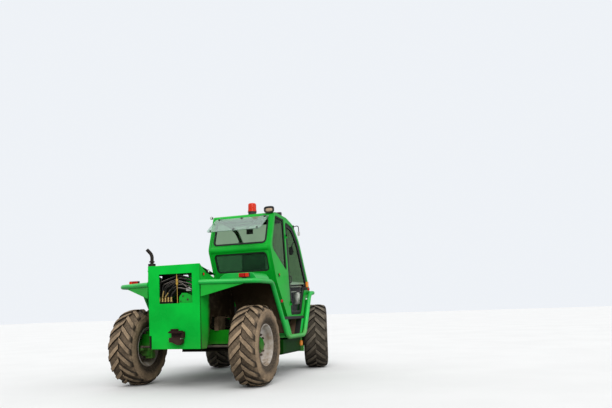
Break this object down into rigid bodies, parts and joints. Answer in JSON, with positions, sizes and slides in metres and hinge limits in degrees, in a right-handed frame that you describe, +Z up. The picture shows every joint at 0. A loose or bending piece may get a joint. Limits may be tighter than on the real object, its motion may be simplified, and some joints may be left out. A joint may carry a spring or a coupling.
{
  "type": "compact telescopic handler",
  "caption": "Compact telescopic farm handler with a side cab, lowered boom, perimeter rail and four steered wheels.",
  "frame": {"origin": "middle of the machine on the ground", "axes": "+X forward, +Y to the machine's left, +Z up"},
  "size_m": [4.1357, 2.4972, 2.616],
  "materials": {
    "green_paint": "gloss green paint, dusty low down",
    "light_green_paint": "gloss light green paint",
    "axle_paint": "green paint under dust",
    "bare_steel": "dull steel",
    "black_steel": "black paint, scuffed",
    "chrome": "hard chrome",
    "rim_paint": "dusty silver paint",
    "tyre": "worn, covered in brown dust",
    "glass": "clear, faint green tint",
    "seat_fabric": "black woven",
    "cast_iron": "dark, oily",
    "hose_rubber": "black hydraulic hose",
    "red_lens": "red lens",
    "orange_lens": "orange lens",
    "black_plastic": "matt black"
  },
  "bodies": {
    "chassis": {"main_frame": "green_paint", "tail_plate": "green_paint", "drawbar_jaw": "black_steel", "perimeter_rails": "light_green_paint", "rail_gussets": "green_paint", "rail_posts": "green_paint", "rear_mudguards": "green_paint", "front_mudguards": "green_paint", "side_tank": "green_paint", "cab_step": "light_green_paint", "guard_cover": "light_green_paint", "cab_right_frame": "green_paint", "cab_left_frame": "green_paint", "cab_rear_frame": "green_paint", "cab_roof": "green_paint", "roof_glass": "glass", "cab_floor": "green_paint", "windscreen": "glass", "quarter_glass": "glass", "left_glass": "glass", "rear_lower_glass": "glass", "rear_vent_glass": "glass", "engine_tub": "green_paint", "engine_block": "cast_iron", "exhaust_stack": "black_steel", "seat": "seat_fabric", "steering_column": "black_steel", "valve_block": "black_steel", "tail_hoses": "hose_rubber", "tail_lamps": "red_lens", "work_lamps": "black_plastic", "beacon": "orange_lens", "front_axle": "axle_paint", "rear_axle": "axle_paint"},
    "front_left_knuckle": {"front_left_knuckle": "axle_paint"},
    "front_left_wheel": {"front_left_rim": "rim_paint", "front_left_tyre": "tyre"},
    "front_right_knuckle": {"front_right_knuckle": "axle_paint"},
    "front_right_wheel": {"front_right_rim": "rim_paint", "front_right_tyre": "tyre"},
    "front_track_rod": {"front_track_rod": "bare_steel"},
    "rear_left_knuckle": {"rear_left_knuckle": "axle_paint"},
    "rear_left_wheel": {"rear_left_rim": "rim_paint", "rear_left_tyre": "tyre"},
    "rear_right_knuckle": {"rear_right_knuckle": "axle_paint"},
    "rear_right_wheel": {"rear_right_rim": "rim_paint", "rear_right_tyre": "tyre"},
    "rear_track_rod": {"rear_track_rod": "bare_steel"},
    "outer_boom": {"boom_outer": "green_paint"},
    "inner_boom": {"boom_inner": "black_steel"},
    "carriage": {"carriage": "green_paint"},
    "lift_barrel": {"lift_barrel": "black_steel"},
    "lift_rod": {"lift_rod": "chrome"},
    "cab_door": {"door_frame": "black_steel", "door_glass": "glass"},
    "hood": {"engine_hood": "green_paint"}
  },
  "joints": [
    {"name": "front_steer", "type": "hinge", "parent": "chassis", "child": "front_left_knuckle", "pos_m": [1.0415, 0.775, 0.56], "axis": [0, 0, 1], "range_deg": [-53, 17]},
    {"name": "front_left_spin", "type": "hinge", "parent": "front_left_knuckle", "child": "front_left_wheel", "pos_m": [0.99515, 0.91766, 0.535], "axis": [-0.309, 0.9511, 0], "continuous": true},
    {"name": "front_steer_right", "type": "hinge", "parent": "chassis", "child": "front_right_knuckle", "pos_m": [1.0415, -0.775, 0.56], "axis": [0, 0, 1], "range_deg": [-53, 17]},
    {"name": "front_right_spin", "type": "hinge", "parent": "front_right_knuckle", "child": "front_right_wheel", "pos_m": [1.08785, -0.91766, 0.535], "axis": [-0.309, 0.9511, 0], "continuous": true},
    {"name": "front_rod_turn", "type": "hinge", "parent": "front_left_knuckle", "child": "front_track_rod", "pos_m": [0.88458, 0.72401, 0.505], "axis": [0, 0, 1], "range_deg": [-17, 53]},
    {"name": "rear_steer", "type": "hinge", "parent": "chassis", "child": "rear_left_knuckle", "pos_m": [-1.4585, 0.775, 0.56], "axis": [0, 0, 1], "range_deg": [-38, 32]},
    {"name": "rear_left_spin", "type": "hinge", "parent": "rear_left_knuckle", "child": "rear_left_wheel", "pos_m": [-1.46635, 0.92479, 0.535], "axis": [-0.0523, 0.9986, 0], "continuous": true},
    {"name": "rear_steer_right", "type": "hinge", "parent": "chassis", "child": "rear_right_knuckle", "pos_m": [-1.4585, -0.775, 0.56], "axis": [0, 0, 1], "range_deg": [-38, 32]},
    {"name": "rear_right_spin", "type": "hinge", "parent": "rear_right_knuckle", "child": "rear_right_wheel", "pos_m": [-1.45065, -0.92479, 0.535], "axis": [-0.0523, 0.9986, 0], "continuous": true},
    {"name": "rear_rod_turn", "type": "hinge", "parent": "rear_left_knuckle", "child": "rear_track_rod", "pos_m": [-1.62327, 0.76636, 0.505], "axis": [0, 0, 1], "range_deg": [-32, 38]},
    {"name": "boom_lift", "type": "hinge", "parent": "chassis", "child": "outer_boom", "pos_m": [-1.7585, 0.165, 1.36], "axis": [0, -1, 0], "range_deg": [0, 60]},
    {"name": "boom_extend", "type": "slide", "parent": "outer_boom", "child": "inner_boom", "axis": [0.9945, 0, -0.1045], "range_m": [0, 1.8]},
    {"name": "carriage_tilt", "type": "hinge", "parent": "inner_boom", "child": "carriage", "pos_m": [1.83286, 0.165, 0.41945], "axis": [0, 1, 0], "range_deg": [-25, 80]},
    {"name": "barrel_turn", "type": "hinge", "parent": "chassis", "child": "lift_barrel", "pos_m": [-1.8385, 0.165, 0.86], "axis": [0, -1, 0], "range_deg": [0, 32.23]},
    {"name": "rod_travel", "type": "slide", "parent": "lift_barrel", "child": "lift_rod", "axis": [0.927, 0, 0.375], "range_m": [0, 0.35422]},
    {"name": "door_swing", "type": "hinge", "parent": "chassis", "child": "cab_door", "pos_m": [-0.39478, -1.03, 1.5], "axis": [0.1236, 0, -0.9923], "range_deg": [0, 90]},
    {"name": "hood_lift", "type": "hinge", "parent": "chassis", "child": "hood", "pos_m": [-0.9585, 0.4023, 1.5], "axis": [1, 0, 0], "range_deg": [0, 70]}
  ],
  "couplings": [
    {"joint": "front_steer_right", "follows": "front_steer", "ratio": 1},
    {"joint": "front_rod_turn", "follows": "front_steer", "ratio": -1},
    {"joint": "rear_steer_right", "follows": "rear_steer", "ratio": 1},
    {"joint": "rear_rod_turn", "follows": "rear_steer", "ratio": -1},
    {"joint": "barrel_turn", "follows": "boom_lift", "ratio": 0.53716},
    {"joint": "rod_travel", "follows": "boom_lift", "m_per_rad": 0.33825}
  ]
}
